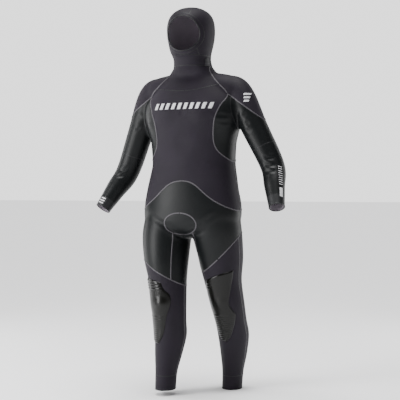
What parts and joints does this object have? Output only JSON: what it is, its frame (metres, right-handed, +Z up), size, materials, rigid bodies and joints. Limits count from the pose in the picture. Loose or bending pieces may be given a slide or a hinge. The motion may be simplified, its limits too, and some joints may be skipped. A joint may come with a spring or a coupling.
{
  "type": "hooded full wetsuit",
  "caption": "Full-length foam neoprene wetsuit with an attached hood, back zip, moulded knee pads and sealing cuffs, shaped as worn in a striding stance.",
  "frame": {"origin": "middle of the suit's footprint, level with the lower ankle hem", "axes": "+Z up, the suit faces -Y, +X is the wearer's left"},
  "size_m": [0.8806, 0.3838, 1.7],
  "materials": {
    "jersey_shell": "matt knitted jersey over foam neoprene",
    "smooth_skin": "smooth-skin neoprene, low sheen",
    "moulded_pad": "glossy moulded rubber",
    "seal_skin": "smooth seal skin, satin",
    "zip_plastic": "moulded nylon, satin"
  },
  "bodies": {
    "torso": {"hood_side_left": "jersey_shell", "hood_side_right": "jersey_shell", "hood_centre": "jersey_shell", "chin_panel": "jersey_shell", "face_seal": "seal_skin", "neck_panel": "jersey_shell", "neck_tab": "zip_plastic", "yoke_panel": "jersey_shell", "shoulder_cap_left": "jersey_shell", "shoulder_cap_right": "jersey_shell", "chest_panel": "jersey_shell", "side_panel_left": "smooth_skin", "side_panel_right": "smooth_skin", "back_panel_left": "jersey_shell", "back_panel_right": "jersey_shell", "zip_chain": "zip_plastic", "zip_tape": "zip_plastic", "hip_panel": "smooth_skin", "seat_panel": "smooth_skin", "crotch_gusset": "smooth_skin", "shoulder_flex_left": "smooth_skin", "shoulder_flex_right": "smooth_skin", "hip_flex_left": "smooth_skin", "hip_flex_right": "smooth_skin"},
    "upper_arm_left": {"upper_sleeve_left": "smooth_skin", "elbow_flex_left": "smooth_skin"},
    "forearm_left": {"forearm_sleeve_left": "smooth_skin", "wrist_seal_left": "seal_skin"},
    "thigh_left": {"thigh_front_left": "smooth_skin", "thigh_back_left": "smooth_skin", "knee_flex_left": "jersey_shell"},
    "shin_left": {"shin_panel_left": "jersey_shell", "calf_panel_left": "jersey_shell", "ankle_seal_left": "seal_skin", "knee_pad_left": "moulded_pad"},
    "upper_arm_right": {"upper_sleeve_right": "smooth_skin", "elbow_flex_right": "smooth_skin"},
    "forearm_right": {"forearm_sleeve_right": "smooth_skin", "wrist_seal_right": "seal_skin"},
    "thigh_right": {"thigh_front_right": "smooth_skin", "thigh_back_right": "smooth_skin", "knee_flex_right": "jersey_shell"},
    "shin_right": {"shin_panel_right": "jersey_shell", "calf_panel_right": "jersey_shell", "ankle_seal_right": "seal_skin", "knee_pad_right": "moulded_pad"},
    "slider": {"zip_slider": "zip_plastic"},
    "pull": {"zip_pull": "zip_plastic"}
  },
  "joints": [
    {"name": "shoulder_left", "type": "hinge", "parent": "torso", "child": "upper_arm_left", "pos_m": [0.19308, -0.00531, 1.325], "axis": [-1, 0, 0], "range_deg": [-15, 40], "deforming": ["shoulder_flex_left"]},
    {"name": "elbow_left", "type": "hinge", "parent": "upper_arm_left", "child": "forearm_left", "pos_m": [0.3572, -0.02426, 1.0029], "axis": [-1, 0, 0], "range_deg": [-20, 60], "deforming": ["elbow_flex_left"]},
    {"name": "hip_left", "type": "hinge", "parent": "torso", "child": "thigh_left", "pos_m": [0.09508, -0.03031, 0.78], "axis": [-1, 0, 0], "range_deg": [-15, 28], "deforming": ["hip_flex_left"]},
    {"name": "knee_left", "type": "hinge", "parent": "thigh_left", "child": "shin_left", "pos_m": [0.13208, 0.03069, 0.398], "axis": [1, 0, 0], "range_deg": [-8, 50], "deforming": ["knee_flex_left", "knee_pad_left"]},
    {"name": "shoulder_right", "type": "hinge", "parent": "torso", "child": "upper_arm_right", "pos_m": [-0.21292, -0.00531, 1.325], "axis": [-1, 0, 0], "range_deg": [-15, 40], "deforming": ["shoulder_flex_right"]},
    {"name": "elbow_right", "type": "hinge", "parent": "upper_arm_right", "child": "forearm_right", "pos_m": [-0.33062, -0.02426, 0.98319], "axis": [-1, 0, 0], "range_deg": [-20, 60], "deforming": ["elbow_flex_right"]},
    {"name": "hip_right", "type": "hinge", "parent": "torso", "child": "thigh_right", "pos_m": [-0.11492, -0.03031, 0.78], "axis": [-1, 0, 0], "range_deg": [-15, 28], "deforming": ["hip_flex_right"]},
    {"name": "knee_right", "type": "hinge", "parent": "thigh_right", "child": "shin_right", "pos_m": [-0.09192, -0.10131, 0.398], "axis": [1, 0, 0], "range_deg": [0, 50], "deforming": ["knee_flex_right", "knee_pad_right"]},
    {"name": "zip_slide", "type": "slide", "parent": "torso", "child": "slider", "axis": [0, 0, -1], "range_m": [0, 0.345]},
    {"name": "zip_pull_swing", "type": "hinge", "parent": "slider", "child": "pull", "pos_m": [-0.00992, 0.11769, 1.33], "axis": [-1, 0, 0], "range_deg": [-80, 0]}
  ]
}
